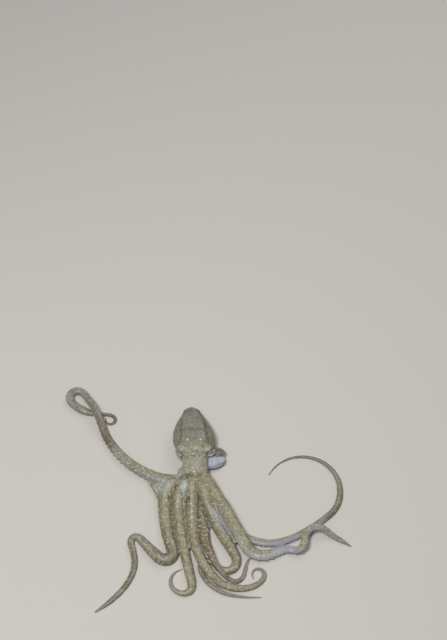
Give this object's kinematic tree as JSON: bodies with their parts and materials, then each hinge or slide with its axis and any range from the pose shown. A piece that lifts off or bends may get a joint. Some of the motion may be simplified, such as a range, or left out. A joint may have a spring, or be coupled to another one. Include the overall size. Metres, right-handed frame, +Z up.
{
  "type": "octopus still model",
  "caption": "Small intertidal octopus at life size, lying flat with its arms trailing forward in bends and curls; a still model.",
  "frame": {"origin": "centre of the rectangle round the whole animal seen from above, at floor level", "axes": "+X to the animal's left, +Y to the tip of its mantle, +Z up"},
  "size_m": [0.2312, 0.2028, 0.0184],
  "materials": {
    "skin": "khaki to greenish grey mottled skin, wet soft gloss",
    "mantle_skin": "greenish grey back with brown sides, wet soft gloss",
    "pale_skin": "pale lavender underside skin, wet soft gloss",
    "eye": "silvery grey iris with a dark slit, clear wet gloss"
  },
  "bodies": {
    "root": {"mantle": "mantle_skin", "head": "skin", "arm_crown": "skin", "funnel": "pale_skin", "eye_right": "eye", "eye_left": "eye", "arm_r4_1": "skin", "arm_r4_2": "skin", "arm_r4_3": "skin", "arm_r4_4": "skin", "arm_r4_5": "skin", "arm_r4_6": "skin", "arm_r4_7": "skin", "arm_r3_1": "skin", "arm_r3_2": "skin", "arm_r3_3": "skin", "arm_r3_4": "skin", "arm_r3_5": "skin", "arm_r3_6": "skin", "arm_r2_1": "skin", "arm_r2_2": "skin", "arm_r2_3": "skin", "arm_r2_4": "skin", "arm_r1_1": "skin", "arm_r1_2": "skin", "arm_r1_3": "skin", "arm_r1_4": "skin", "arm_r1_5": "skin", "arm_l1_1": "skin", "arm_l1_2": "skin", "arm_l1_3": "skin", "arm_l1_4": "skin", "arm_l2_1": "skin", "arm_l2_2": "skin", "arm_l2_3": "skin", "arm_l2_4": "skin", "arm_l2_5": "skin", "arm_l2_6": "skin", "arm_l2_7": "skin", "arm_l3_1": "skin", "arm_l3_2": "skin", "arm_l3_3": "skin", "arm_l3_4": "skin", "arm_l3_5": "skin", "arm_l3_6": "skin", "arm_l4_1": "skin", "arm_l4_2": "skin", "arm_l4_3": "skin", "arm_l4_4": "skin", "arm_l4_5": "skin", "arm_l4_6": "skin"}
  },
  "joints": []
}
